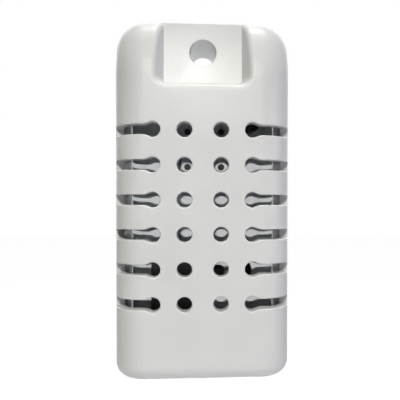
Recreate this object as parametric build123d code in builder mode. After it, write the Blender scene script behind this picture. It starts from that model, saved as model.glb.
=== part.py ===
from build123d import *
import os

# A wall-mounted, vented housing for a wired temperature sensor. Millimetres.
# The origin is the centre of the wall-screw hole in the plane of the wall, +Z is up and the front faces -Y.
# Heights are measured up from the foot of the housing and depths back from its front plane.

# How far a cutting shape runs past the face that it cuts, and how near counts as lying on a face
overcut = 1.0
nearness = 0.01

# Outside of the housing
body_width = 29.0
body_height = 59.3
body_depth = 14.0
screw_hole_below_top = 5.5
top_corner_radius = 5.25
front_edge_radius = 5.0
foot_edge_radius = 2.3
crown_length = 10.0
crown_drop = 3.4

# Walls of the front cover
side_wall = 1.4
front_wall = 2.15
foot_wall = 1.5
top_wall = 1.5
inner_edge_radius = 2.6

# Screw recess and the tube round the wall screw
recess_depth = 3.5
recess_side_room = 8.0
recess_floor_below_top = 10.65
recess_corner_radius = 0.6
recess_draft = 20.0
recess_floor_lean = 4.0
recess_rim_radius = 0.85
recess_wall = 1.5
wall_screw_hole_diameter = 4.5
tube_wall = 1.6

# Vents
vent_rows = 6
first_vent_height = 12.55
vent_pitch = 5.61
inner_column = 2.94
outer_column = 8.0
vent_diameter = 2.46
slot_height = 1.64
slot_depth = 4.6
neck_radius = 2.2
vent_edge_chamfer = 0.12

# Back cover
back_thickness = 2.0
back_gap = 0.25
tube_gap = 0.15

# Screws that hold the two covers together, and their bosses in the front cover
cover_screw_diameter = 2.2
cover_screw_head_diameter = 4.0
cover_screw_length = 8.0
cover_screw_inset = 3.5
cover_screw_height = 4.5
cover_boss_diameter = 4.6
screw_gap = 0.05
cover_screw_tip_room = 1.0
cover_screw_cross_across = 2.0
cover_screw_cross_width = 0.5
cover_screw_cross_depth = 0.8

# Stops on the side walls that the top of the back cover rests on
stop_width = 1.6
stop_height = 4.0
stop_depth = 3.0
stop_foot_below_top = 13.3

# Four-pin seat that is moulded into the back cover, its black plugs and three key slots
pin_hole_diameter = 1.2
pin_hole_depth = 1.4
pin_columns = (-2.86, 3.34)
pin_heights = (35.42, 41.92)
plug_gap = 0.02
plug_chamfer = 0.1
key_slot_width = 0.28
key_slot_depth = 0.9
slant_slot_length = 0.9
slant_slot_angle = -48.0
slant_slot_places = ((-2.59, 43.35), (3.18, 43.49))
upright_slot_length = 2.6
upright_slot_place = (-4.15, 35.8)

# Circuit board and the two posts and screws that carry it
board_left = -8.95
board_right = 0.6
board_foot_height = 6.6
board_above_link = 4.85
board_thickness = 1.2
board_stand_off = 3.8
board_corner_radius = 0.6
board_screw_diameter = 2.0
board_screw_head_diameter = 3.2
board_screw_head_height = 1.1
board_screw_length = 4.6
board_screw_tip_room = 0.25
board_screw_head_chamfer = 0.35
board_screw_cross_across = 1.7
board_screw_cross_width = 0.4
board_screw_cross_depth = 0.6
board_post_diameter = 3.8
board_post_columns = (-6.9, -5.9)
board_post_insets = (1.8, 1.7)

# Thermistor, its leads, the drop that covers their joint and the sleeved link wires
bead_inset = 6.35
bead_height = 43.42
bead_radius = 2.12
wire_stand_off = 2.6
wire_diameter = 0.5
wire_spacing = 0.8
lead_inset = 7.8
drop_inset = 7.53
drop_below_link = 0.15
drop_radius = 2.0
drop_height = 3.0
lead_gap = 0.15
link_above_chip = 3.15
link_start = -1.9
link_overrun = 0.26
sleeve_start = -0.6
sleeve_end = 2.97
sleeve_diameter = 1.9
sleeve_bore = 1.5

# Wire header at the foot of the board
header_centre = -2.1
header_foot_height = 4.8
header_width = 5.0
header_length = 4.0
header_back_gap = 0.5
header_wall = 0.45
header_floor = 1.0
pin_count = 3
pin_pitch = 1.25
pin_size = 0.4
pin_bend_height = 9.2
pin_stand_off = 0.6
pin_tip_inset = 0.8
pad_hole_gap = 0.15
solder_radius = 0.6
solder_height = 0.45
solder_slope = 35.0
link_solder_radius = 0.9
link_solder_slope = 15.0

# Parts on the rear of the board
chip_place = (-5.3, 13.6)
chip_size = (3.9, 1.5, 4.9)
chip_draft = 8.0
chip_legs_a_side = 4
chip_leg_pitch = 1.27
chip_leg_width = 0.4
chip_leg_reach = 1.05
leg_thickness = 0.2
regulator_middle = -0.75
regulator_size = (1.3, 1.0, 2.9)
regulator_draft = 6.0
regulator_leg_pitch = 1.9
regulator_leg_reach = 0.6
regulator_leg_root = 0.05
capacitor_places = ((-8.35, 16.9), (-8.35, 19.2), (-3.4, 10.4))
resistor_columns = (-3.0, -1.5, 0.0)
resistors_below_top = 1.1
passive_size = (0.8, 0.7, 1.6)
cap_length = 0.3
tank_middle = -1.2
tank_size = (3.2, 1.6, 1.2)
tank_chamfer = 0.15

# Cable inlet in the foot of the front cover
grommet_back_gap = 0.6
grommet_bore = 4.0
grommet_neck_diameter = 6.4
grommet_flange_diameter = 7.6
grommet_flange_thickness = 0.7
grommet_gap = 0.05

# Dab of clear glue on the end of one slot
glue_above_rows = 2
glue_size = (1.7, 1.3)
glue_thickness = 0.5
glue_inset = 0.35
glue_round = 0.3

# Places that follow from the sizes above
top_z = screw_hole_below_top
foot_z = top_z - body_height
front_y = -body_depth
recess_floor_y = front_y + recess_depth
slot_end_y = front_y + slot_depth
back_inner_y = -back_thickness
board_rear_y = back_inner_y - board_stand_off
board_front_y = board_rear_y - board_thickness
wire_y = back_inner_y - wire_stand_off
inside_half_width = body_width / 2 - side_wall
recess_half_width = body_width / 2 - recess_side_room
recess_floor_height = body_height - recess_floor_below_top
stop_foot_height = body_height - stop_foot_below_top
cover_screw_x = body_width / 2 - cover_screw_inset
bead_x = body_width / 2 - bead_inset
lead_x = body_width / 2 - lead_inset
drop_x = body_width / 2 - drop_inset
tube_diameter = wall_screw_hole_diameter + 2 * tube_wall
grommet_y = back_inner_y - grommet_back_gap - grommet_flange_diameter / 2
vent_heights = [first_vent_height + row * vent_pitch for row in range(vent_rows)]
link_height = chip_place[1] + link_above_chip
board_top_height = link_height + board_above_link
board_post_heights = (board_foot_height + board_post_insets[0], board_top_height - board_post_insets[1])
resistor_height = board_top_height - resistors_below_top
resistor_places = tuple((x, resistor_height) for x in resistor_columns)
tank_centre_height = (link_height + link_solder_radius + resistor_height - passive_size[2] / 2) / 2


def up(height):
    """The Z of a height above the foot of the housing."""
    return foot_z + height


cover_screw_places = [(side * cover_screw_x, up(cover_screw_height)) for side in (-1, 1)]
board_post_places = [(x, up(height)) for x, height in zip(board_post_columns, board_post_heights)]
header_pin_columns = [header_centre + (pin - (pin_count - 1) / 2) * pin_pitch for pin in range(pin_count)]


def facing(y):
    """The plane parallel to the wall at this Y, seen from the front. Positive lengths run to the front."""
    return Plane.XZ.offset(-y)


def front_block(side, front, foot, head, edge_radius):
    """A block with round top corners, a front that leans back at the top and rounded front edges.

    The first four values are how far its sides, front, foot and top lie inside the housing's own.
    """
    half = body_width / 2 - side
    base = foot_z + foot
    top = top_z - head
    face = front_y + front
    with BuildPart() as block:
        with BuildSketch(Plane.XZ) as outline:
            with Locations((0, base)):
                Rectangle(2 * half, top - base, align=(Align.CENTER, Align.MIN))
            fillet(outline.vertices().group_by(Axis.Y)[-1], top_corner_radius - side)
        extrude(amount=-face)
        with BuildSketch(Plane.YZ):
            with BuildLine():
                crown = TangentArc((face, top_z - crown_length), (face + crown_drop, top), tangent=(0, 1))
                ahead = face - overcut
                Polyline(crown @ 1, (ahead, top), (ahead, top_z - crown_length), crown @ 0)
            make_face()
        extrude(amount=half + overcut, both=True, mode=Mode.SUBTRACT)
        edges = block.edges().filter_by(lambda e: e.center().Y < face + crown_drop + nearness)
        edges = edges.filter_by(lambda e: abs(e.center().X) > nearness or e.center().Z > top - nearness)
        fillet(edges.filter_by(lambda e: e.center().Z > base + nearness), edge_radius)
    return block.part


def recess_block(wall):
    """The space of the screw recess, open at the top and wider to the front, grown by a wall all round.

    Its floor leans back a little towards the top, about the height of the wall screw.
    """
    floor_plane = facing(recess_floor_y + wall).rotated((-recess_floor_lean, 0, 0))
    with BuildPart() as block:
        with BuildSketch(floor_plane) as floor:
            with Locations((0, up(recess_floor_height - wall))):
                Rectangle(2 * (recess_half_width + wall), body_height, align=(Align.CENTER, Align.MIN))
            fillet(floor.vertices().group_by(Axis.Y)[0], recess_corner_radius + wall)
        extrude(amount=recess_depth + wall + 2 * overcut, taper=-recess_draft)
    return block.part


def cut_rim(part, cutter, deepest_y):
    """The edges that a cutter left where it went in, in front of the plane at deepest_y."""
    corners = cutter.edges()
    rim = part.edges().filter_by(lambda e: e.center().Y < deepest_y - nearness)
    rim = rim.filter_by(lambda e: cutter.distance_to(e @ 0.5) < nearness / 100)
    return rim.filter_by(lambda e: corners.sort_by_distance(e @ 0.5)[0].distance_to(e @ 0.5) > nearness / 10)


# One vent of the outer columns: a round end that necks down into a slot
with BuildSketch() as keyhole:
    with Locations((outer_column, 0)):
        Circle(vent_diameter / 2)
        Rectangle(body_width, slot_height, align=(Align.MIN, Align.CENTER))
    fillet(keyhole.vertices().sort_by(Axis.X)[:2], neck_radius)

left_keyhole = mirror(keyhole.sketch, about=Plane.YZ)

with BuildPart() as vent_cutter:
    with BuildSketch(facing(slot_end_y)):
        with Locations(*[(0, up(height)) for height in vent_heights]):
            add(keyhole.sketch)
            add(left_keyhole)
        for x in (-inner_column, inner_column):
            with Locations(*[(x, up(height)) for height in vent_heights]):
                Circle(vent_diameter / 2)
    extrude(amount=slot_depth + overcut)

recess = recess_block(0)

with BuildPart() as cavity:
    add(front_block(side_wall, front_wall, foot_wall, top_wall, inner_edge_radius))
    add(recess_block(recess_wall), mode=Mode.SUBTRACT)

with BuildPart() as front_cover:
    add(front_block(0, 0, 0, 0, front_edge_radius))
    foot_edges = front_cover.faces().sort_by(Axis.Z)[0].edges()
    fillet(foot_edges.filter_by(lambda e: e.center().Y < -nearness), foot_edge_radius)

    # Screw recess with its soft rim
    add(recess, mode=Mode.SUBTRACT)
    fillet(cut_rim(front_cover, recess, recess_floor_y), recess_rim_radius)

    # Vents with broken outer edges
    add(vent_cutter.part, mode=Mode.SUBTRACT)
    chamfer(cut_rim(front_cover, vent_cutter.part, front_y + front_wall / 2), vent_edge_chamfer)

    # Inside, with the tube for the wall screw, the bosses for the cover screws and the stops
    add(cavity.part, mode=Mode.SUBTRACT)
    with BuildSketch(facing(0)):
        Circle(tube_diameter / 2)
    extrude(amount=-recess_floor_y - recess_wall / 2)
    with BuildSketch(facing(0)):
        Circle(wall_screw_hole_diameter / 2)
    extrude(amount=body_depth, mode=Mode.SUBTRACT)
    with BuildSketch(facing(back_inner_y)):
        with Locations(*cover_screw_places):
            Circle(cover_boss_diameter / 2)
    extrude(amount=body_depth - back_thickness - front_wall / 2)
    with BuildSketch(facing(back_inner_y)):
        with Locations(*cover_screw_places):
            Circle(cover_screw_diameter / 2 + screw_gap)
    extrude(amount=cover_screw_length - back_thickness + cover_screw_tip_room, mode=Mode.SUBTRACT)
    with BuildSketch(facing(back_inner_y)):
        stop_centre = inside_half_width - stop_width / 2 + side_wall / 4
        with Locations(*[(side * stop_centre, up(stop_foot_height)) for side in (-1, 1)]):
            Rectangle(stop_width + side_wall / 2, stop_height, align=(Align.CENTER, Align.MIN))
    extrude(amount=stop_depth)
    with BuildSketch(Plane.XY.offset(foot_z)):
        with Locations((0, grommet_y)):
            Circle(grommet_neck_diameter / 2)
    extrude(amount=foot_wall, mode=Mode.SUBTRACT)
front_cover.part.label = "front_cover"

with BuildPart() as back_cover:
    gap = side_wall + back_gap
    with BuildSketch(Plane.XZ) as back_outline:
        with Locations((0, up(foot_wall + back_gap))):
            height = body_height - foot_wall - top_wall - 2 * back_gap
            Rectangle(body_width - 2 * gap, height, align=(Align.CENTER, Align.MIN))
        fillet(back_outline.vertices().group_by(Axis.Y)[-1], top_corner_radius - gap)
        Circle(tube_diameter / 2 + tube_gap, mode=Mode.SUBTRACT)
    extrude(amount=back_thickness)
    with BuildSketch(facing(back_inner_y)):
        with Locations(*board_post_places):
            Circle(board_post_diameter / 2)
    extrude(amount=back_inner_y - board_rear_y)
    with BuildSketch(facing(board_rear_y)):
        with Locations(*board_post_places):
            Circle(board_screw_diameter / 2 + screw_gap)
    extrude(amount=-(board_screw_length - board_thickness + board_screw_tip_room), mode=Mode.SUBTRACT)
    with Locations(Plane(origin=(0, 0, 0), x_dir=(1, 0, 0), z_dir=(0, 1, 0))):
        with Locations(*[(x, -z) for x, z in cover_screw_places]):
            CounterSinkHole(
                cover_screw_diameter / 2 + screw_gap,
                cover_screw_head_diameter / 2 + screw_gap,
                depth=back_thickness + overcut,
                counter_sink_angle=90,
            )

    # The four-pin seat and its key slots
    with BuildSketch(facing(back_inner_y)):
        with Locations(*[(x, up(height)) for x in pin_columns for height in pin_heights]):
            Circle(pin_hole_diameter / 2)
    extrude(amount=-pin_hole_depth, mode=Mode.SUBTRACT)
    with BuildSketch(facing(back_inner_y)):
        with Locations(*[(x, up(height)) for x, height in slant_slot_places]):
            Rectangle(slant_slot_length, key_slot_width, rotation=slant_slot_angle)
        with Locations((upright_slot_place[0], up(upright_slot_place[1]))):
            Rectangle(key_slot_width, upright_slot_length)
    extrude(amount=-key_slot_depth, mode=Mode.SUBTRACT)
back_cover.part.label = "back_cover"

with BuildPart() as seat_plugs:
    with BuildSketch(facing(back_inner_y + pin_hole_depth)):
        with Locations(*[(x, up(height)) for x in pin_columns for height in pin_heights]):
            Circle(pin_hole_diameter / 2 - plug_gap)
    extrude(amount=pin_hole_depth + plug_chamfer)
    chamfer(seat_plugs.faces().group_by(Axis.Y)[0].edges(), plug_chamfer)
seat_plugs.part.label = "seat_plugs"

with BuildPart() as one_cover_screw:
    with BuildSketch(Plane.YZ):
        with BuildLine():
            Polyline(
                (0, 0),
                (0, cover_screw_head_diameter / 2),
                (-(cover_screw_head_diameter - cover_screw_diameter) / 2, cover_screw_diameter / 2),
                (-cover_screw_length + cover_screw_diameter / 2, cover_screw_diameter / 2),
                (-cover_screw_length, 0),
                close=True,
            )
        make_face()
    revolve(axis=Axis.Y)
    with BuildSketch(Plane.XZ):
        Rectangle(cover_screw_cross_across, cover_screw_cross_width)
        Rectangle(cover_screw_cross_width, cover_screw_cross_across)
    extrude(amount=cover_screw_cross_depth, mode=Mode.SUBTRACT)

with BuildPart() as cover_screws:
    with Locations(*[(x, 0, z) for x, z in cover_screw_places]):
        add(one_cover_screw.part)
cover_screws.part.label = "cover_screws"

with BuildPart() as circuit_board:
    with BuildSketch(facing(board_rear_y)) as board_outline:
        with Locations((board_left, up(board_foot_height))):
            board_height = board_top_height - board_foot_height
            Rectangle(board_right - board_left, board_height, align=(Align.MIN, Align.MIN))
        fillet(board_outline.vertices(), board_corner_radius)
        with Locations(*board_post_places):
            Circle(board_screw_diameter / 2 + screw_gap, mode=Mode.SUBTRACT)
        with Locations(*[(x, up(pin_bend_height)) for x in header_pin_columns]):
            Circle(pin_size / 2 + pad_hole_gap, mode=Mode.SUBTRACT)
    extrude(amount=board_thickness)
circuit_board.part.label = "circuit_board"

with BuildPart() as board_screws:
    with BuildSketch(facing(board_front_y)):
        with Locations(*board_post_places):
            Circle(board_screw_head_diameter / 2)
    extrude(amount=board_screw_head_height)
    chamfer(board_screws.faces().group_by(Axis.Y)[0].edges(), board_screw_head_chamfer)
    with BuildSketch(facing(board_front_y)):
        with Locations(*board_post_places):
            Circle(board_screw_diameter / 2)
    extrude(amount=-board_screw_length)
    with BuildSketch(facing(board_front_y - board_screw_head_height)):
        with Locations(*board_post_places):
            Rectangle(board_screw_cross_across, board_screw_cross_width)
            Rectangle(board_screw_cross_width, board_screw_cross_across)
    extrude(amount=-board_screw_cross_depth, mode=Mode.SUBTRACT)
board_screws.part.label = "board_screws"

# Thermistor: a dipped bead on two stiff leads, whose joint to the link wires lies in a drop of potting.
# The link wires run to the board through a sleeve with a sealed, domed end.
bead = Vector(bead_x, wire_y, up(bead_height))
drop_z = up(link_height - drop_below_link)
lead_foot_z = up(link_height) + wire_spacing / 2 + wire_diameter / 2 + lead_gap
with BuildPart() as thermistor_leads:
    with BuildSketch(Plane.XY.offset(lead_foot_z)):
        with Locations(*[(lead_x + side * wire_spacing / 2, wire_y) for side in (-1, 1)]):
            Circle(wire_diameter / 2)
    extrude(amount=bead.Z - lead_foot_z)
thermistor_leads.part.label = "thermistor_leads"

with BuildPart() as thermistor_bead:
    with Locations(bead):
        Sphere(bead_radius)
    add(thermistor_leads.part, mode=Mode.SUBTRACT)
thermistor_bead.part.label = "thermistor_bead"

with BuildPart() as link_wires:
    with BuildSketch(Plane.YZ.offset(link_start)):
        with Locations(*[(wire_y, up(link_height) + side * wire_spacing / 2) for side in (-1, 1)]):
            Circle(wire_diameter / 2)
    extrude(amount=drop_x + link_overrun - link_start)
link_wires.part.label = "link_wires"

with BuildPart() as lead_sleeve:
    with BuildSketch(Plane.YZ.offset(sleeve_start)):
        with Locations((wire_y, up(link_height))):
            Circle(sleeve_diameter / 2)
            Circle(sleeve_bore / 2, mode=Mode.SUBTRACT)
    extrude(amount=sleeve_end - sleeve_start)
    with Locations((sleeve_end, wire_y, up(link_height))):
        Sphere(sleeve_diameter / 2)
    add(link_wires.part, mode=Mode.SUBTRACT)
lead_sleeve.part.label = "lead_sleeve"

with BuildPart() as joint_drop:
    with BuildSketch(Plane.XY.offset(drop_z)):
        with BuildLine():
            dome_centre = (drop_x, back_inner_y - drop_height + drop_radius)
            dome = CenterArc(dome_centre, drop_radius, -90, 90)
            rim = (drop_x + drop_radius, back_inner_y)
            Polyline(dome @ 1, rim, (drop_x, back_inner_y), dome @ 0)
        make_face()
    revolve(axis=Axis((drop_x, 0, drop_z), (0, 1, 0)))
    add(thermistor_leads.part, mode=Mode.SUBTRACT)
    add(link_wires.part, mode=Mode.SUBTRACT)
joint_drop.part.label = "joint_drop"

# Wire header on the rear of the board, open to the foot, with bent pins that pass through the board
header_depth = board_stand_off - header_back_gap
header_middle_y = board_rear_y + header_depth / 2
header_foot_z = up(header_foot_height)
with BuildPart() as wire_header:
    with BuildSketch(facing(board_rear_y)):
        with Locations((header_centre, header_foot_z)):
            Rectangle(header_width, header_length, align=(Align.CENTER, Align.MIN))
    extrude(amount=-header_depth)
    with BuildSketch(Plane.XY.offset(header_foot_z)):
        with Locations((header_centre, header_middle_y)):
            Rectangle(header_width - 2 * header_wall, header_depth - 2 * header_wall)
    extrude(amount=header_length - header_floor, mode=Mode.SUBTRACT)
    with BuildSketch(Plane.XY.offset(header_foot_z + header_length)):
        with Locations(*[(x, header_middle_y) for x in header_pin_columns]):
            Rectangle(pin_size, pin_size)
    extrude(amount=-header_floor, mode=Mode.SUBTRACT)
wire_header.part.label = "wire_header"

with BuildPart() as header_pins:
    for x in header_pin_columns:
        with BuildSketch(Plane.YZ.offset(x - pin_size / 2)):
            with BuildLine():
                Polyline(
                    (header_middle_y, header_foot_z + pin_tip_inset),
                    (header_middle_y, up(pin_bend_height)),
                    (board_front_y - pin_stand_off, up(pin_bend_height)),
                )
                offset(amount=pin_size / 2, side=Side.BOTH)
            make_face()
        extrude(amount=pin_size)
header_pins.part.label = "header_pins"

with BuildPart() as solder_joints:
    with BuildSketch(facing(board_front_y)):
        with Locations(*[(x, up(pin_bend_height)) for x in header_pin_columns]):
            Circle(solder_radius)
    extrude(amount=solder_height, taper=solder_slope)
    with BuildSketch(facing(board_rear_y)):
        with Locations((link_start, up(link_height))):
            Circle(link_solder_radius)
    extrude(amount=-(wire_y - board_rear_y + wire_diameter), taper=link_solder_slope)
    add(header_pins.part, mode=Mode.SUBTRACT)
    add(link_wires.part, mode=Mode.SUBTRACT)
solder_joints.part.label = "solder_joints"

# Microcontroller, its body drafted to a parting line at mid height, with two rows of bent legs
chip_width, chip_depth, chip_length = chip_size
chip_half_depth = (chip_depth - leg_thickness) / 2
chip_middle_y = board_rear_y + leg_thickness + chip_half_depth
with BuildPart() as microcontroller:
    with BuildSketch(facing(chip_middle_y)):
        with Locations((chip_place[0], up(chip_place[1]))):
            Rectangle(chip_width, chip_length)
    extrude(amount=chip_half_depth, both=True, taper=chip_draft)
microcontroller.part.label = "microcontroller"


def bent_legs(edge_x, outward, body_middle_y, reach, heights, width):
    """Legs that leave a body at edge_x, step down to the board and run on along it."""
    step_x = edge_x + outward * reach / 2
    foot_x = edge_x + outward * reach
    middle = leg_thickness / 2
    with BuildPart() as legs:
        for height in heights:
            with BuildSketch(Plane.XY.offset(up(height) - width / 2)):
                with BuildLine():
                    Polyline(
                        (edge_x, body_middle_y),
                        (step_x, body_middle_y),
                        (step_x, board_rear_y + middle),
                        (foot_x, board_rear_y + middle),
                    )
                    offset(amount=middle, side=Side.BOTH)
                make_face()
            extrude(amount=width)
    return legs.part


chip_first_leg = chip_place[1] - (chip_legs_a_side - 1) / 2 * chip_leg_pitch
chip_rows = [chip_first_leg + leg * chip_leg_pitch for leg in range(chip_legs_a_side)]
with BuildPart() as microcontroller_legs:
    for side in (-1, 1):
        edge_x = chip_place[0] + side * chip_width / 2
        add(bent_legs(edge_x, side, chip_middle_y, chip_leg_reach, chip_rows, chip_leg_width))
    add(microcontroller.part, mode=Mode.SUBTRACT)
microcontroller_legs.part.label = "microcontroller_legs"

regulator_width, regulator_depth, regulator_length = regulator_size
with BuildPart() as voltage_regulator:
    with BuildSketch(facing(board_rear_y + leg_thickness / 2)):
        with Locations((regulator_middle, up(chip_place[1]))):
            Rectangle(regulator_width, regulator_length)
    extrude(amount=-regulator_depth, taper=regulator_draft)
voltage_regulator.part.label = "voltage_regulator"

regulator_middle_y = board_rear_y + leg_thickness / 2 + regulator_depth / 2
with BuildPart() as regulator_legs:
    for side, rows in ((-1, (-1, 1)), (1, (0,))):
        edge_x = regulator_middle + side * (regulator_width / 2 - regulator_leg_root)
        heights = [chip_place[1] + row * regulator_leg_pitch / 2 for row in rows]
        add(bent_legs(edge_x, side, regulator_middle_y, regulator_leg_reach, heights, chip_leg_width))
    add(voltage_regulator.part, mode=Mode.SUBTRACT)
regulator_legs.part.label = "regulator_legs"


def chip_bodies(places, size, ends):
    """The bodies or, with ends, the metal end caps of small chip parts on the rear of the board."""
    width, depth, length = size
    cap_offset = (length - cap_length) / 2
    with BuildPart() as chips:
        with BuildSketch(facing(board_rear_y)):
            for x, height in places:
                if ends:
                    with Locations((x, up(height) - cap_offset), (x, up(height) + cap_offset)):
                        Rectangle(width, cap_length)
                else:
                    with Locations((x, up(height))):
                        Rectangle(width, length - 2 * cap_length)
        extrude(amount=-depth)
    return chips.part


with BuildPart() as ceramic_capacitors:
    add(chip_bodies(capacitor_places, passive_size, False))
ceramic_capacitors.part.label = "ceramic_capacitors"

with BuildPart() as chip_resistors:
    add(chip_bodies(resistor_places, passive_size, False))
chip_resistors.part.label = "chip_resistors"

with BuildPart() as chip_end_caps:
    add(chip_bodies(capacitor_places + resistor_places, passive_size, True))
chip_end_caps.part.label = "chip_end_caps"

tank_width, tank_depth, tank_height = tank_size
with BuildPart() as tank_capacitor:
    with BuildSketch(facing(board_rear_y)):
        with Locations((tank_middle, up(tank_centre_height))):
            Rectangle(tank_width, tank_height)
    extrude(amount=-tank_depth)
    chamfer(tank_capacitor.faces().sort_by(Axis.Y)[-1].edges(), tank_chamfer)
tank_capacitor.part.label = "tank_capacitor"

with BuildPart() as cable_grommet:
    with BuildSketch(Plane.XZ.offset(-grommet_y)):
        with BuildLine():
            inner = grommet_bore / 2
            neck = grommet_neck_diameter / 2 - grommet_gap
            flange = grommet_flange_diameter / 2
            low = foot_z - grommet_gap
            high = foot_z + foot_wall + grommet_gap
            Polyline(
                (inner, low - grommet_flange_thickness),
                (flange, low - grommet_flange_thickness),
                (flange, low),
                (neck, low),
                (neck, high),
                (flange, high),
                (flange, high + grommet_flange_thickness),
                (inner, high + grommet_flange_thickness),
                close=True,
            )
        make_face()
    revolve(axis=Axis((0, grommet_y, 0), (0, 0, 1)))
cable_grommet.part.label = "cable_grommet"

# Dab of clear glue on the end of a slot, lapping on to the inside of the side wall
with BuildPart() as glue_dab:
    with BuildSketch(facing(slot_end_y)):
        glue_x = -body_width / 2 + glue_inset + glue_size[0] / 2
        with Locations((glue_x, up(vent_heights[glue_above_rows]))):
            Ellipse(glue_size[0] / 2, glue_size[1] / 2)
    extrude(amount=glue_thickness)
    fillet(glue_dab.faces().sort_by(Axis.Y)[0].edges(), glue_round)
glue_dab.part.label = "glue_dab"

pieces = (
    front_cover,
    back_cover,
    seat_plugs,
    cover_screws,
    circuit_board,
    board_screws,
    thermistor_bead,
    thermistor_leads,
    joint_drop,
    link_wires,
    lead_sleeve,
    wire_header,
    header_pins,
    solder_joints,
    microcontroller,
    microcontroller_legs,
    voltage_regulator,
    regulator_legs,
    tank_capacitor,
    ceramic_capacitors,
    chip_resistors,
    chip_end_caps,
    cable_grommet,
    glue_dab,
)
os.makedirs("parts", exist_ok=True)
for piece in pieces:
    export_step(piece.part, "parts/" + piece.part.label + ".step")
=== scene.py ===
import math

import bpy
from mathutils import Matrix, Vector


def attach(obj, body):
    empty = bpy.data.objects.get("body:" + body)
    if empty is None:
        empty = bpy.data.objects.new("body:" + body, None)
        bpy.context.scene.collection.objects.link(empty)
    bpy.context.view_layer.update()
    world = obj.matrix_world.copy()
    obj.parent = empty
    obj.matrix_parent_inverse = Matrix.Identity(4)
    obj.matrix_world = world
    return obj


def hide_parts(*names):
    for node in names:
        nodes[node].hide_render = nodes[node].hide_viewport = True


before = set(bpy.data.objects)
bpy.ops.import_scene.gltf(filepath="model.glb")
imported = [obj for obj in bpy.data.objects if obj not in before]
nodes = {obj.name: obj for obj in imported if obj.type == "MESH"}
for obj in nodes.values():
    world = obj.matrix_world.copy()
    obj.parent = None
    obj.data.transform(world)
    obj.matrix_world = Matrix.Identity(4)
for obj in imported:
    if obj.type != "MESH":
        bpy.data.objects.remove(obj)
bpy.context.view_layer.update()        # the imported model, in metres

mm = 0.001
scene = bpy.context.scene
print("frame loaded:", len(nodes), "nodes")


def linearColor(hexColor):
    # sRGB hex to the linear values that the shaders use
    values = [int(hexColor[i:i + 2], 16) / 255 for i in (1, 3, 5)]
    return [v / 12.92 if v <= 0.04045 else ((v + 0.055) / 1.055) ** 2.4 for v in values] + [1.0]


def addNode(tree, kind, settings=None, links=None):
    # one node, with its properties or unlinked inputs set and its inputs linked
    node = tree.nodes.new(kind)
    for name, value in (settings or {}).items():
        if isinstance(name, str) and hasattr(node, name):
            setattr(node, name, value)
        else:
            node.inputs[name].default_value = value
    for name, output in (links or {}).items():
        tree.links.new(output, node.inputs[name])
    return node


def newMaterial(name):
    material = bpy.data.materials.new(name)
    material.use_nodes = True
    material.node_tree.nodes.clear()
    return material, material.node_tree


def dress(material, *names):
    # the finish of each of these CAD pieces
    for name in names:
        nodes[name].data.materials.clear()
        nodes[name].data.materials.append(material)
    print(material.name, "on", ", ".join(names))


# Most noise values lie between these two, so ranges are spread from here
noiseLow = 0.3
noiseHigh = 0.7
edgeSamples = 4          # rays that look for a nearby edge, which are enough for the small pieces


# Front cover: white ABS, injection moulded in a finely spark-eroded mould

frontCover = {
    "dark": "#d5d5d3",
    "light": "#dbdbd9",
    "smooth": 0.33,
    "rough": 0.39,
    "ior": 1.54,
    "shine": 0.4,             # a little under the 0.5 of polished plastic
    "scatter": 0.45 * mm,     # how far light travels inside the plastic
    "scatterShare": 0.35,
    "scatterColors": (1.0, 0.97, 0.92),   # red goes furthest, blue least
    "drift": 6.0 * mm,        # patches where the gloss and tint change a little
    "grain": 0.32 * mm,       # the real grain is about 0.1 mm, drawn coarser so that it shows
    "grainHeight": 0.0035 * mm,
    "wave": 9.0 * mm,         # slow unevenness of a moulded wall
    "waveHeight": 0.02 * mm,
    "edge": 0.15 * mm,        # how far the moulded edges are rounded
    "edgeSamples": 6,
}


def mouldedWhiteAbs(values):
    # White ABS scatters a little light inside, which softens small edges, and its satin skin
    # gives broad, slightly sparkling highlights.
    material, tree = newMaterial("mouldedWhiteAbs")
    place = addNode(tree, "ShaderNodeTexCoord")
    drift = addNode(tree, "ShaderNodeTexNoise", {"Scale": 1 / values["drift"], "Detail": 2.0},
                    {"Vector": place.outputs["Object"]})
    grain = addNode(tree, "ShaderNodeTexNoise", {"Scale": 1 / values["grain"], "Detail": 1.0},
                    {"Vector": place.outputs["Object"]})
    wave = addNode(tree, "ShaderNodeTexNoise", {"Scale": 1 / values["wave"], "Detail": 0.0},
                   {"Vector": place.outputs["Object"]})
    edge = addNode(tree, "ShaderNodeBevel",
                   {"samples": values["edgeSamples"], "Radius": values["edge"]})
    slow = addNode(tree, "ShaderNodeBump", {"Strength": 1.0, "Distance": values["waveHeight"]},
                   {"Height": wave.outputs["Fac"], "Normal": edge.outputs["Normal"]})
    fine = addNode(tree, "ShaderNodeBump", {"Strength": 1.0, "Distance": values["grainHeight"]},
                   {"Height": grain.outputs["Fac"], "Normal": slow.outputs["Normal"]})
    tint = addNode(tree, "ShaderNodeMixRGB",
                   {"Color1": linearColor(values["dark"]), "Color2": linearColor(values["light"])},
                   {"Fac": drift.outputs["Fac"]})
    gloss = addNode(tree, "ShaderNodeMapRange",
                    {"From Min": noiseLow, "From Max": noiseHigh,
                     "To Min": values["smooth"], "To Max": values["rough"]},
                    {"Value": drift.outputs["Fac"]})
    shader = addNode(tree, "ShaderNodeBsdfPrincipled",
                     {"IOR": values["ior"], "Specular IOR Level": values["shine"],
                      "Subsurface Weight": values["scatterShare"],
                      "Subsurface Radius": values["scatterColors"],
                      "Subsurface Scale": values["scatter"]},
                     {"Base Color": tint.outputs["Color"], "Roughness": gloss.outputs["Result"],
                      "Normal": fine.outputs["Normal"]})
    addNode(tree, "ShaderNodeOutputMaterial", links={"Surface": shader.outputs[0]})
    return material


# The cover is drawn by a skin over its CAD mesh. Some facets of that mesh cut across a rounded
# edge, so the edges between them are turned until each facet is as compact as it can be on the side
# rolled out flat. The facets then lie along the rounding, as the true surface does.

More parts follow.
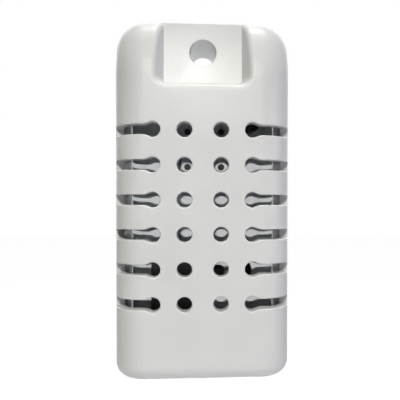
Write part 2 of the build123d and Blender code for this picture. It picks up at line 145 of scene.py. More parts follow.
coverSkin = {
    "stray": math.radians(15),   # a facet this far off the true surface is laid anew
    "gain": math.radians(0.5),   # the least that turning an edge has to bring
    "rings": 2,                  # how many rows of neighbours may be turned with it
    "top": -10 * mm,             # only below this height, where the outline stays the same
    "level": 0.75,               # and only where the surface is this upright
    "radius": 5.0 * mm,          # the rounded edge
    "axis": (9.5 * mm, -9.0 * mm),        # where the axis of that edge stands, seen from above
    "bosses": (-52.5 * mm, -46.5 * mm),   # the screw bosses meet the edge between these heights
    "skim": 0.01 * mm,           # points this close under the edge count as on it
}


def facetStray(points, normals, corners):
    # the largest angle between a facet and the true surface at its corners
    a, b, c = (points[corner] for corner in corners)
    flat = (b - a).cross(c - a)
    return max(flat.angle(normals[corner], math.pi) for corner in corners)


def strayRegion(points, normals, facets, values):
    # the strayed facets between the rows of vents, with the rows of facets round them
    upright = [point.z < values["top"] and abs(normal.z) < values["level"]
               for point, normal in zip(points, normals)]
    side = [i for i, facet in enumerate(facets)
            if len(facet) == 3 and all(upright[corner] for corner in facet)]
    region = {i for i in side if facetStray(points, normals, facets[i]) > values["stray"]}
    print("cover facets that stray:", len(region))
    for _ in range(values["rings"]):
        touched = {corner for i in region for corner in facets[i]}
        region |= {i for i in side if len(touched.intersection(facets[i])) > 1}
    return sorted(region)


def rolledOut(point):
    # a point of the front, the rounded edge or the side, on the outline rolled out flat
    return Vector((abs(point.x) + point.y, point.z))


def cornerAngle(corner, one, other):
    return (one - corner).angle(other - corner, 0.0)


def turnOneRound(places, facets, region, gain):
    # turns each shared edge once, where the two angles that face it add up to too much
    sides = {}
    for i in region:
        a, b, c = facets[i]
        sides.update({(a, b): (i, c), (b, c): (i, a), (c, a): (i, b)})
    turned = set()
    for (a, b), (one, c) in sides.items():
        other, d = sides.get((b, a), (one, c))
        if other == one or one in turned or other in turned:
            continue
        start, end = places[a], places[b]
        facing = cornerAngle(places[c], start, end) + cornerAngle(places[d], start, end)
        if facing > math.pi + gain:
            facets[one] = [c, a, d]
            facets[other] = [d, b, c]
            turned |= {one, other}
    return len(turned) // 2


def turnStrayedEdges(points, facets, region, values):
    places = [rolledOut(point) for point in points]
    turns = 0
    turned = turnOneRound(places, facets, region, values["gain"])
    while turned and turns < len(facets):
        turns += turned
        turned = turnOneRound(places, facets, region, values["gain"])
    print("edges turned:", turns)


def layBossesFlush(points, normals, values):
    # the ends of the screw bosses stand a little proud of the rounded edge, so they go back to it
    low, high = values["bosses"]
    acrossAxis, depthAxis = values["axis"]
    for i, point in enumerate(points):
        axis = Vector((math.copysign(acrossAxis, point.x), depthAxis, point.z))
        out = point - axis
        onEdge = out.x * point.x > 0 and out.y < 0 and low < point.z < high
        if onEdge and out.length > values["radius"] - values["skim"]:
            normals[i] = out.normalized()
            points[i] = axis + normals[i] * values["radius"]


def surfaceNormals(mesh):
    # the direction of the true surface at each point, as the CAD mesh has it
    normals = [vertex.normal.copy() for vertex in mesh.vertices]
    for loop, corner in zip(mesh.loops, mesh.corner_normals):
        normals[loop.vertex_index] = corner.vector.copy()
    return normals


def addCoverSkin(source, material, values):
    mesh = source.data
    points = [vertex.co.copy() for vertex in mesh.vertices]
    normals = surfaceNormals(mesh)
    facets = [list(polygon.vertices) for polygon in mesh.polygons]
    region = strayRegion(points, normals, facets, values)
    turnStrayedEdges(points, facets, region, values)
    skinMesh = bpy.data.meshes.new("frontCoverSkin")
    skinMesh.from_pydata(points, [], facets)
    skinMesh.update()
    for corner in {corner for i in region for corner in facets[i]}:
        normals[corner] = skinMesh.vertices[corner].normal.copy()
    layBossesFlush(points, normals, values)
    skinMesh.vertices.foreach_set("co", [value for point in points for value in point])
    skinMesh.polygons.foreach_set("use_smooth", [polygon.use_smooth for polygon in mesh.polygons])
    skinMesh.normals_split_custom_set_from_vertices(normals)
    skinMesh.materials.append(material)
    skin = bpy.data.objects.new("frontCoverSkin", skinMesh)
    scene.collection.objects.link(skin)
    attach(skin, "root")
    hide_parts(source.name)
    print("cover skin laid")


coverMaterial = mouldedWhiteAbs(frontCover)
dress(coverMaterial, "front_cover")
addCoverSkin(nodes["front_cover"], coverMaterial, coverSkin)


# Back cover: a cooler white ABS, moulded matt

backCover = {
    "dark": "#e8ebef",
    "light": "#eef1f5",
    "smooth": 0.42,
    "rough": 0.52,
    "ior": 1.54,
    "scatter": 0.15 * mm,
    "scatterShare": 0.3,
    "scatterColors": (1.0, 0.97, 0.92),
    "drift": 5.0 * mm,
    "grain": 0.35 * mm,       # drawn coarser than the real 0.15 mm
    "grainHeight": 0.004 * mm,
    "edge": 0.12 * mm,
}


def mouldedCoolWhiteAbs(values):
    # A cool white with a matt skin, so that the light patches on it have soft even tones.
    material, tree = newMaterial("mouldedCoolWhiteAbs")
    place = addNode(tree, "ShaderNodeTexCoord")
    drift = addNode(tree, "ShaderNodeTexNoise", {"Scale": 1 / values["drift"], "Detail": 2.0},
                    {"Vector": place.outputs["Object"]})
    grain = addNode(tree, "ShaderNodeTexNoise", {"Scale": 1 / values["grain"], "Detail": 1.0},
                    {"Vector": place.outputs["Object"]})
    edge = addNode(tree, "ShaderNodeBevel", {"samples": edgeSamples, "Radius": values["edge"]})
    fine = addNode(tree, "ShaderNodeBump", {"Strength": 1.0, "Distance": values["grainHeight"]},
                   {"Height": grain.outputs["Fac"], "Normal": edge.outputs["Normal"]})
    tint = addNode(tree, "ShaderNodeMixRGB",
                   {"Color1": linearColor(values["dark"]), "Color2": linearColor(values["light"])},
                   {"Fac": drift.outputs["Fac"]})
    gloss = addNode(tree, "ShaderNodeMapRange",
                    {"From Min": noiseLow, "From Max": noiseHigh,
                     "To Min": values["smooth"], "To Max": values["rough"]},
                    {"Value": drift.outputs["Fac"]})
    shader = addNode(tree, "ShaderNodeBsdfPrincipled",
                     {"IOR": values["ior"], "Subsurface Weight": values["scatterShare"],
                      "Subsurface Radius": values["scatterColors"],
                      "Subsurface Scale": values["scatter"]},
                     {"Base Color": tint.outputs["Color"], "Roughness": gloss.outputs["Result"],
                      "Normal": fine.outputs["Normal"]})
    addNode(tree, "ShaderNodeOutputMaterial", links={"Surface": shader.outputs[0]})
    return material


dress(mouldedCoolWhiteAbs(backCover), "back_cover")


# Screws: cold-headed steel, electroplated with bright zinc

screws = {
    "dark": "#b2b4b4",
    "light": "#c9cac8",
    "smooth": 0.22,
    "rough": 0.42,
    "cloud": 1.0 * mm,
    "crystal": 0.25 * mm,     # real zinc crystals are finer still
    "crystalHeight": 0.002 * mm,
    "edge": 0.06 * mm,
}


def zincPlatedSteel(values):
    # A cool grey mirror, blurred by the crystals of the plating and duller in clouds.
    material, tree = newMaterial("zincPlatedSteel")
    place = addNode(tree, "ShaderNodeTexCoord")
    cloud = addNode(tree, "ShaderNodeTexNoise", {"Scale": 1 / values["cloud"], "Detail": 3.0},
                    {"Vector": place.outputs["Object"]})
    crystal = addNode(tree, "ShaderNodeTexVoronoi", {"Scale": 1 / values["crystal"]},
                      {"Vector": place.outputs["Object"]})
    edge = addNode(tree, "ShaderNodeBevel", {"samples": edgeSamples, "Radius": values["edge"]})
    bump = addNode(tree, "ShaderNodeBump", {"Strength": 1.0, "Distance": values["crystalHeight"]},
                   {"Height": crystal.outputs["Distance"], "Normal": edge.outputs["Normal"]})
    tint = addNode(tree, "ShaderNodeMixRGB",
                   {"Color1": linearColor(values["dark"]), "Color2": linearColor(values["light"])},
                   {"Fac": cloud.outputs["Fac"]})
    gloss = addNode(tree, "ShaderNodeMapRange",
                    {"From Min": noiseLow, "From Max": noiseHigh,
                     "To Min": values["smooth"], "To Max": values["rough"]},
                    {"Value": cloud.outputs["Fac"]})
    shader = addNode(tree, "ShaderNodeBsdfPrincipled", {"Metallic": 1.0},
                     {"Base Color": tint.outputs["Color"], "Roughness": gloss.outputs["Result"],
                      "Normal": bump.outputs["Normal"]})
    addNode(tree, "ShaderNodeOutputMaterial", links={"Surface": shader.outputs[0]})
    return material


dress(zincPlatedSteel(screws), "cover_screws", "board_screws")


# Circuit board: woven glass cloth in epoxy, with a dark solder mask printed over it

circuitBoard = {
    "dark": "#4a4b47",
    "light": "#565752",
    "smooth": 0.28,
    "rough": 0.42,
    "ior": 1.53,
    "cloud": 1.8 * mm,
    "thread": 0.45 * mm,      # spacing of the glass threads
    "weaveHeight": 0.006 * mm,
    "edge": 0.05 * mm,
}


def solderMaskedGlassEpoxy(values):
    # The mask follows the cloth below it, so its gloss breaks up into a faint weave.
    material, tree = newMaterial("solderMaskedGlassEpoxy")
    place = addNode(tree, "ShaderNodeTexCoord")
    cloud = addNode(tree, "ShaderNodeTexNoise", {"Scale": 1 / values["cloud"], "Detail": 2.0},
                    {"Vector": place.outputs["Object"]})
    # a wave texture of scale 1 has a band every 1/20 of a full turn, so 2 pi / 20 to the spacing
    waveScale = 2 * math.pi / 20 / values["thread"]
    warp = addNode(tree, "ShaderNodeTexWave", {"bands_direction": "X", "Scale": waveScale},
                   {"Vector": place.outputs["Object"]})
    weft = addNode(tree, "ShaderNodeTexWave", {"bands_direction": "Z", "Scale": waveScale},
                   {"Vector": place.outputs["Object"]})
    weave = addNode(tree, "ShaderNodeMath", {"operation": "MAXIMUM"},
                    {0: warp.outputs["Fac"], 1: weft.outputs["Fac"]})
    edge = addNode(tree, "ShaderNodeBevel", {"samples": edgeSamples, "Radius": values["edge"]})
    bump = addNode(tree, "ShaderNodeBump", {"Strength": 1.0, "Distance": values["weaveHeight"]},
                   {"Height": weave.outputs[0], "Normal": edge.outputs["Normal"]})
    tint = addNode(tree, "ShaderNodeMixRGB",
                   {"Color1": linearColor(values["dark"]), "Color2": linearColor(values["light"])},
                   {"Fac": cloud.outputs["Fac"]})
    gloss = addNode(tree, "ShaderNodeMapRange",
                    {"From Min": noiseLow, "From Max": noiseHigh,
                     "To Min": values["smooth"], "To Max": values["rough"]},
                    {"Value": cloud.outputs["Fac"]})
    shader = addNode(tree, "ShaderNodeBsdfPrincipled", {"IOR": values["ior"]},
                     {"Base Color": tint.outputs["Color"], "Roughness": gloss.outputs["Result"],
                      "Normal": bump.outputs["Normal"]})
    addNode(tree, "ShaderNodeOutputMaterial", links={"Surface": shader.outputs[0]})
    return material


dress(solderMaskedGlassEpoxy(circuitBoard), "circuit_board")


# Thermistor bead and joint drop: black epoxy, dipped and cured

drops = {
    "dark": "#131210",
    "light": "#1b1a17",
    "smooth": 0.12,
    "rough": 0.22,
    "ior": 1.55,
    "cloud": 2.0 * mm,
    "sag": 1.6 * mm,          # soft swells where the liquid epoxy ran before it set
    "sagHeight": 0.05 * mm,
}


def dippedBlackEpoxy(values):
    # Wet-looking black with a small sharp highlight that wavers where the liquid ran.
    material, tree = newMaterial("dippedBlackEpoxy")
    place = addNode(tree, "ShaderNodeTexCoord")
    cloud = addNode(tree, "ShaderNodeTexNoise", {"Scale": 1 / values["cloud"], "Detail": 2.0},
                    {"Vector": place.outputs["Object"]})
    sag = addNode(tree, "ShaderNodeTexNoise", {"Scale": 1 / values["sag"], "Detail": 0.0},
                  {"Vector": place.outputs["Object"]})
    bump = addNode(tree, "ShaderNodeBump", {"Strength": 1.0, "Distance": values["sagHeight"]},
                   {"Height": sag.outputs["Fac"]})
    tint = addNode(tree, "ShaderNodeMixRGB",
                   {"Color1": linearColor(values["dark"]), "Color2": linearColor(values["light"])},
                   {"Fac": cloud.outputs["Fac"]})
    gloss = addNode(tree, "ShaderNodeMapRange",
                    {"From Min": noiseLow, "From Max": noiseHigh,
                     "To Min": values["smooth"], "To Max": values["rough"]},
                    {"Value": cloud.outputs["Fac"]})
    shader = addNode(tree, "ShaderNodeBsdfPrincipled", {"IOR": values["ior"]},
                     {"Base Color": tint.outputs["Color"], "Roughness": gloss.outputs["Result"],
                      "Normal": bump.outputs["Normal"]})
    addNode(tree, "ShaderNodeOutputMaterial", links={"Surface": shader.outputs[0]})
    return material


dress(dippedBlackEpoxy(drops), "thermistor_bead", "joint_drop")


# Thermistor leads: wires with an extruded skin of black PVC

leads = {
    "dark": "#151516",
    "light": "#202021",
    "smooth": 0.36,
    "rough": 0.50,
    "ior": 1.53,
    "cloud": 1.2 * mm,
    "drawLine": 0.12 * mm,    # fine lines that the die leaves along the wire
    "stretch": 0.05,          # pattern scale along the wire, so that lines run 20 times their width
    "lineHeight": 0.003 * mm,
}


def extrudedBlackPvc(values):
    # A satin black whose highlight runs along the wire in fine lines.
    material, tree = newMaterial("extrudedBlackPvc")
    place = addNode(tree, "ShaderNodeTexCoord")
    along = addNode(tree, "ShaderNodeMapping", {"Scale": (1.0, 1.0, values["stretch"])},
                    {"Vector": place.outputs["Object"]})
    cloud = addNode(tree, "ShaderNodeTexNoise", {"Scale": 1 / values["cloud"], "Detail": 2.0},
                    {"Vector": place.outputs["Object"]})
    lines = addNode(tree, "ShaderNodeTexNoise", {"Scale": 1 / values["drawLine"], "Detail": 1.0},
                    {"Vector": along.outputs["Vector"]})
    bump = addNode(tree, "ShaderNodeBump", {"Strength": 1.0, "Distance": values["lineHeight"]},
                   {"Height": lines.outputs["Fac"]})
    tint = addNode(tree, "ShaderNodeMixRGB",
                   {"Color1": linearColor(values["dark"]), "Color2": linearColor(values["light"])},
                   {"Fac": cloud.outputs["Fac"]})
    gloss = addNode(tree, "ShaderNodeMapRange",
                    {"From Min": noiseLow, "From Max": noiseHigh,
                     "To Min": values["smooth"], "To Max": values["rough"]},
                    {"Value": cloud.outputs["Fac"]})
    shader = addNode(tree, "ShaderNodeBsdfPrincipled", {"IOR": values["ior"]},
                     {"Base Color": tint.outputs["Color"], "Roughness": gloss.outputs["Result"],
                      "Normal": bump.outputs["Normal"]})
    addNode(tree, "ShaderNodeOutputMaterial", links={"Surface": shader.outputs[0]})
    return material


dress(extrudedBlackPvc(leads), "thermistor_leads")


# Link wires and the legs of the chips: copper with a bright tin plate

tinnedLegs = {
    "dark": "#c6c5bf",
    "light": "#dcdad4",
    "smooth": 0.16,
    "rough": 0.30,
    "cloud": 0.8 * mm,
    "grain": 0.20 * mm,
    "grainHeight": 0.002 * mm,
    "edge": 0.03 * mm,
}


def tinPlatedCopper(values):
    # A warm silver, nearly a mirror, with slightly milky clouds.
    material, tree = newMaterial("tinPlatedCopper")
    place = addNode(tree, "ShaderNodeTexCoord")
    cloud = addNode(tree, "ShaderNodeTexNoise", {"Scale": 1 / values["cloud"], "Detail": 2.0},
                    {"Vector": place.outputs["Object"]})
    grain = addNode(tree, "ShaderNodeTexNoise", {"Scale": 1 / values["grain"], "Detail": 2.0},
                    {"Vector": place.outputs["Object"]})
    edge = addNode(tree, "ShaderNodeBevel", {"samples": edgeSamples, "Radius": values["edge"]})
    bump = addNode(tree, "ShaderNodeBump", {"Strength": 1.0, "Distance": values["grainHeight"]},
                   {"Height": grain.outputs["Fac"], "Normal": edge.outputs["Normal"]})
    tint = addNode(tree, "ShaderNodeMixRGB",
                   {"Color1": linearColor(values["dark"]), "Color2": linearColor(values["light"])},
                   {"Fac": cloud.outputs["Fac"]})
    gloss = addNode(tree, "ShaderNodeMapRange",
                    {"From Min": noiseLow, "From Max": noiseHigh,
                     "To Min": values["smooth"], "To Max": values["rough"]},
                    {"Value": cloud.outputs["Fac"]})
    shader = addNode(tree, "ShaderNodeBsdfPrincipled", {"Metallic": 1.0},
                     {"Base Color": tint.outputs["Color"], "Roughness": gloss.outputs["Result"],
                      "Normal": bump.outputs["Normal"]})
    addNode(tree, "ShaderNodeOutputMaterial", links={"Surface": shader.outputs[0]})
    return material


dress(tinPlatedCopper(tinnedLegs), "link_wires", "microcontroller_legs", "regulator_legs")


# Header pins: square brass wire, tin plated, a little yellow

headerPins = {
    "dark": "#c8c2ae",
    "light": "#dad5c3",
    "smooth": 0.18,
    "rough": 0.30,
    "cloud": 0.7 * mm,
    "drawLine": 0.10 * mm,    # lines along the drawn wire
    "stretch": 0.1,
    "lineHeight": 0.002 * mm,
    "edge": 0.04 * mm,
}


def tinPlatedBrass(values):
    # Silver with the yellow of the brass in it, and drawing lines that smear its reflections.
    material, tree = newMaterial("tinPlatedBrass")
    place = addNode(tree, "ShaderNodeTexCoord")
    along = addNode(tree, "ShaderNodeMapping", {"Scale": (1.0, 1.0, values["stretch"])},
                    {"Vector": place.outputs["Object"]})
    cloud = addNode(tree, "ShaderNodeTexNoise", {"Scale": 1 / values["cloud"], "Detail": 2.0},
                    {"Vector": place.outputs["Object"]})
    lines = addNode(tree, "ShaderNodeTexNoise", {"Scale": 1 / values["drawLine"], "Detail": 1.0},
                    {"Vector": along.outputs["Vector"]})
    edge = addNode(tree, "ShaderNodeBevel", {"samples": edgeSamples, "Radius": values["edge"]})
    bump = addNode(tree, "ShaderNodeBump", {"Strength": 1.0, "Distance": values["lineHeight"]},
                   {"Height": lines.outputs["Fac"], "Normal": edge.outputs["Normal"]})
    tint = addNode(tree, "ShaderNodeMixRGB",
                   {"Color1": linearColor(values["dark"]), "Color2": linearColor(values["light"])},
                   {"Fac": cloud.outputs["Fac"]})
    gloss = addNode(tree, "ShaderNodeMapRange",
                    {"From Min": noiseLow, "From Max": noiseHigh,
                     "To Min": values["smooth"], "To Max": values["rough"]},
                    {"Value": cloud.outputs["Fac"]})
    shader = addNode(tree, "ShaderNodeBsdfPrincipled", {"Metallic": 1.0},
                     {"Base Color": tint.outputs["Color"], "Roughness": gloss.outputs["Result"],
                      "Normal": bump.outputs["Normal"]})
    addNode(tree, "ShaderNodeOutputMaterial", links={"Surface": shader.outputs[0]})
    return material


dress(tinPlatedBrass(headerPins), "header_pins")


# Solder joints and the ends of the chip parts: reflowed tin-silver solder

solder = {
    "dark": "#a9aaa8",
    "light": "#c4c5c3",
    "smooth": 0.25,
    "rough": 0.45,
    "cloud": 0.6 * mm,
    "wrinkle": 0.30 * mm,     # shrink lines of lead-free solder
    "wrinkleHeight": 0.010 * mm,
    "edge": 0.06 * mm,
}


def reflowedSolder(values):
    # Grey silver, bright in places and frosted where the solder shrank as it froze.
    material, tree = newMaterial("reflowedSolder")
    place = addNode(tree, "ShaderNodeTexCoord")
    cloud = addNode(tree, "ShaderNodeTexNoise", {"Scale": 1 / values["cloud"], "Detail": 3.0},
                    {"Vector": place.outputs["Object"]})
    wrinkle = addNode(tree, "ShaderNodeTexNoise",
                      {"Scale": 1 / values["wrinkle"], "Detail": 2.0, "Distortion": 1.0},
                      {"Vector": place.outputs["Object"]})
    edge = addNode(tree, "ShaderNodeBevel", {"samples": edgeSamples, "Radius": values["edge"]})
    bump = addNode(tree, "ShaderNodeBump", {"Strength": 1.0, "Distance": values["wrinkleHeight"]},
                   {"Height": wrinkle.outputs["Fac"], "Normal": edge.outputs["Normal"]})
    tint = addNode(tree, "ShaderNodeMixRGB",
                   {"Color1": linearColor(values["dark"]), "Color2": linearColor(values["light"])},
                   {"Fac": cloud.outputs["Fac"]})
    gloss = addNode(tree, "ShaderNodeMapRange",
                    {"From Min": noiseLow, "From Max": noiseHigh,
                     "To Min": values["smooth"], "To Max": values["rough"]},
                    {"Value": cloud.outputs["Fac"]})
    shader = addNode(tree, "ShaderNodeBsdfPrincipled", {"Metallic": 1.0},
                     {"Base Color": tint.outputs["Color"], "Roughness": gloss.outputs["Result"],
                      "Normal": bump.outputs["Normal"]})
    addNode(tree, "ShaderNodeOutputMaterial", links={"Surface": shader.outputs[0]})
    return material


dress(reflowedSolder(solder), "solder_joints", "chip_end_caps")


# Sleeve over the link wires: polyolefin tube, shrunk on with heat

sleeve = {
    "dark": "#161615",
    "light": "#21211f",
    "smooth": 0.38,
    "rough": 0.55,
    "ior": 1.50,
    "cloud": 1.6 * mm,
    "ripple": 0.40 * mm,      # ripples where the tube drew tight
    "rippleHeight": 0.008 * mm,
}


def shrunkPolyolefin(values):
    # Soft black with a broken satin highlight along its ripples.
    material, tree = newMaterial("shrunkPolyolefin")
    place = addNode(tree, "ShaderNodeTexCoord")
    cloud = addNode(tree, "ShaderNodeTexNoise", {"Scale": 1 / values["cloud"], "Detail": 2.0},
                    {"Vector": place.outputs["Object"]})
    ripple = addNode(tree, "ShaderNodeTexNoise", {"Scale": 1 / values["ripple"], "Detail": 2.0},
                     {"Vector": place.outputs["Object"]})
    bump = addNode(tree, "ShaderNodeBump", {"Strength": 1.0, "Distance": values["rippleHeight"]},
                   {"Height": ripple.outputs["Fac"]})
    tint = addNode(tree, "ShaderNodeMixRGB",
                   {"Color1": linearColor(values["dark"]), "Color2": linearColor(values["light"])},
                   {"Fac": cloud.outputs["Fac"]})
    gloss = addNode(tree, "ShaderNodeMapRange",
                    {"From Min": noiseLow, "From Max": noiseHigh,
                     "To Min": values["smooth"], "To Max": values["rough"]},
                    {"Value": cloud.outputs["Fac"]})
    shader = addNode(tree, "ShaderNodeBsdfPrincipled", {"IOR": values["ior"]},
                     {"Base Color": tint.outputs["Color"], "Roughness": gloss.outputs["Result"],
                      "Normal": bump.outputs["Normal"]})
    addNode(tree, "ShaderNodeOutputMaterial", links={"Surface": shader.outputs[0]})
    return material


dress(shrunkPolyolefin(sleeve), "lead_sleeve")


# Wire header: natural nylon, injection moulded

wireHeader = {
    "dark": "#d6d3c6",
    "light": "#e3e0d4",
    "smooth": 0.35,
    "rough": 0.48,
    "ior": 1.53,
    "scatter": 0.5 * mm,
    "scatterShare": 0.6,
    "scatterColors": (1.0, 0.95, 0.85),
    "cloud": 2.0 * mm,
    "grain": 0.30 * mm,
    "grainHeight": 0.004 * mm,
    "edge": 0.06 * mm,
}


def mouldedNaturalNylon(values):
    # A waxy ivory: light soaks in and softens the corners.
    material, tree = newMaterial("mouldedNaturalNylon")
    place = addNode(tree, "ShaderNodeTexCoord")
    cloud = addNode(tree, "ShaderNodeTexNoise", {"Scale": 1 / values["cloud"], "Detail": 2.0},
                    {"Vector": place.outputs["Object"]})
    grain = addNode(tree, "ShaderNodeTexNoise", {"Scale": 1 / values["grain"], "Detail": 2.0},
                    {"Vector": place.outputs["Object"]})
    edge = addNode(tree, "ShaderNodeBevel", {"samples": edgeSamples, "Radius": values["edge"]})
    bump = addNode(tree, "ShaderNodeBump", {"Strength": 1.0, "Distance": values["grainHeight"]},
                   {"Height": grain.outputs["Fac"], "Normal": edge.outputs["Normal"]})
    tint = addNode(tree, "ShaderNodeMixRGB",
                   {"Color1": linearColor(values["dark"]), "Color2": linearColor(values["light"])},
                   {"Fac": cloud.outputs["Fac"]})
    gloss = addNode(tree, "ShaderNodeMapRange",
                    {"From Min": noiseLow, "From Max": noiseHigh,
                     "To Min": values["smooth"], "To Max": values["rough"]},
                    {"Value": cloud.outputs["Fac"]})
    shader = addNode(tree, "ShaderNodeBsdfPrincipled",
                     {"IOR": values["ior"], "Subsurface Weight": values["scatterShare"],
                      "Subsurface Radius": values["scatterColors"],
                      "Subsurface Scale": values["scatter"]},
                     {"Base Color": tint.outputs["Color"], "Roughness": gloss.outputs["Result"],
                      "Normal": bump.outputs["Normal"]})
    addNode(tree, "ShaderNodeOutputMaterial", links={"Surface": shader.outputs[0]})
    return material


dress(mouldedNaturalNylon(wireHeader), "wire_header")


# Microcontroller and regulator: filled epoxy, transfer moulded

chips = {
    "dark": "#1b1b1c",
    "light": "#2a2a2b",
    "smooth": 0.45,
    "rough": 0.60,
    "ior": 1.55,
    "cloud": 0.9 * mm,
    "filler": 0.12 * mm,      # the glass filler is finer, drawn coarser so that it shows
    "fillerHeight": 0.004 * mm,
    "edge": 0.05 * mm,
}


def transferMouldedEpoxy(values):
    # A dry charcoal with a fine speckle from the glass filler.
    material, tree = newMaterial("transferMouldedEpoxy")
    place = addNode(tree, "ShaderNodeTexCoord")
    cloud = addNode(tree, "ShaderNodeTexNoise", {"Scale": 1 / values["cloud"], "Detail": 2.0},
                    {"Vector": place.outputs["Object"]})
    filler = addNode(tree, "ShaderNodeTexNoise", {"Scale": 1 / values["filler"], "Detail": 2.0},
                     {"Vector": place.outputs["Object"]})
    edge = addNode(tree, "ShaderNodeBevel", {"samples": edgeSamples, "Radius": values["edge"]})
    bump = addNode(tree, "ShaderNodeBump", {"Strength": 1.0, "Distance": values["fillerHeight"]},
                   {"Height": filler.outputs["Fac"], "Normal": edge.outputs["Normal"]})
    tint = addNode(tree, "ShaderNodeMixRGB",
                   {"Color1": linearColor(values["dark"]), "Color2": linearColor(values["light"])},
                   {"Fac": filler.outputs["Fac"]})
    gloss = addNode(tree, "ShaderNodeMapRange",
                    {"From Min": noiseLow, "From Max": noiseHigh,
                     "To Min": values["smooth"], "To Max": values["rough"]},
                    {"Value": cloud.outputs["Fac"]})
    shader = addNode(tree, "ShaderNodeBsdfPrincipled", {"IOR": values["ior"]},
                     {"Base Color": tint.outputs["Color"], "Roughness": gloss.outputs["Result"],
                      "Normal": bump.outputs["Normal"]})
    addNode(tree, "ShaderNodeOutputMaterial", links={"Surface": shader.outputs[0]})
    return material


dress(transferMouldedEpoxy(chips), "microcontroller", "voltage_regulator")


# Tank capacitor: a tantalum slug in a yellow epoxy case, moulded

tankCapacitor = {
    "dark": "#c28719",
    "light": "#d39b30",
    "smooth": 0.35,
    "rough": 0.50,
    "ior": 1.55,
    "cloud": 0.8 * mm,
    "grain": 0.25 * mm,
    "grainHeight": 0.004 * mm,
    "edge": 0.05 * mm,
}


def mouldedYellowEpoxy(values):
    # An opaque amber yellow with a soft eggshell gloss.
    material, tree = newMaterial("mouldedYellowEpoxy")
    place = addNode(tree, "ShaderNodeTexCoord")
    cloud = addNode(tree, "ShaderNodeTexNoise", {"Scale": 1 / values["cloud"], "Detail": 2.0},
                    {"Vector": place.outputs["Object"]})
    grain = addNode(tree, "ShaderNodeTexNoise", {"Scale": 1 / values["grain"], "Detail": 2.0},
                    {"Vector": place.outputs["Object"]})
    edge = addNode(tree, "ShaderNodeBevel", {"samples": edgeSamples, "Radius": values["edge"]})
    bump = addNode(tree, "ShaderNodeBump", {"Strength": 1.0, "Distance": values["grainHeight"]},
                   {"Height": grain.outputs["Fac"], "Normal": edge.outputs["Normal"]})
    tint = addNode(tree, "ShaderNodeMixRGB",
                   {"Color1": linearColor(values["dark"]), "Color2": linearColor(values["light"])},
                   {"Fac": cloud.outputs["Fac"]})
    gloss = addNode(tree, "ShaderNodeMapRange",
                    {"From Min": noiseLow, "From Max": noiseHigh,
                     "To Min": values["smooth"], "To Max": values["rough"]},
                    {"Value": cloud.outputs["Fac"]})
    shader = addNode(tree, "ShaderNodeBsdfPrincipled", {"IOR": values["ior"]},
                     {"Base Color": tint.outputs["Color"], "Roughness": gloss.outputs["Result"],
                      "Normal": bump.outputs["Normal"]})
    addNode(tree, "ShaderNodeOutputMaterial", links={"Surface": shader.outputs[0]})
    return material


dress(mouldedYellowEpoxy(tankCapacitor), "tank_capacitor")


# Chip capacitors: fired barium titanate

capacitors = {
    "dark": "#967652",
    "light": "#b3926e",
    "smooth": 0.40,
    "rough": 0.60,
    "ior": 1.60,
    "cloud": 0.5 * mm,
    "grain": 0.15 * mm,       # the sintered grain is far finer
    "grainHeight": 0.004 * mm,
    "edge": 0.05 * mm,
}


def firedTanCeramic(values):
    # A dry biscuit brown, a little uneven from the kiln.
    material, tree = newMaterial("firedTanCeramic")
    place = addNode(tree, "ShaderNodeTexCoord")
    cloud = addNode(tree, "ShaderNodeTexNoise", {"Scale": 1 / values["cloud"], "Detail": 3.0},
                    {"Vector": place.outputs["Object"]})
    grain = addNode(tree, "ShaderNodeTexNoise", {"Scale": 1 / values["grain"], "Detail": 2.0},
                    {"Vector": place.outputs["Object"]})
    edge = addNode(tree, "ShaderNodeBevel", {"samples": edgeSamples, "Radius": values["edge"]})
    bump = addNode(tree, "ShaderNodeBump", {"Strength": 1.0, "Distance": values["grainHeight"]},
                   {"Height": grain.outputs["Fac"], "Normal": edge.outputs["Normal"]})
    tint = addNode(tree, "ShaderNodeMixRGB",
                   {"Color1": linearColor(values["dark"]), "Color2": linearColor(values["light"])},
                   {"Fac": cloud.outputs["Fac"]})
    gloss = addNode(tree, "ShaderNodeMapRange",
                    {"From Min": noiseLow, "From Max": noiseHigh,
                     "To Min": values["smooth"], "To Max": values["rough"]},
                    {"Value": cloud.outputs["Fac"]})
    shader = addNode(tree, "ShaderNodeBsdfPrincipled", {"IOR": values["ior"]},
                     {"Base Color": tint.outputs["Color"], "Roughness": gloss.outputs["Result"],
                      "Normal": bump.outputs["Normal"]})
    addNode(tree, "ShaderNodeOutputMaterial", links={"Surface": shader.outputs[0]})
    return material


dress(firedTanCeramic(capacitors), "ceramic_capacitors")


# Chip resistors: black glaze printed on alumina and fired

resistors = {
    "dark": "#131314",
    "light": "#202022",
    "smooth": 0.15,
    "rough": 0.28,
    "ior": 1.52,
    "cloud": 0.6 * mm,
    "print": 0.30 * mm,       # marks of the printing screen
    "printHeight": 0.004 * mm,
    "edge": 0.05 * mm,
}


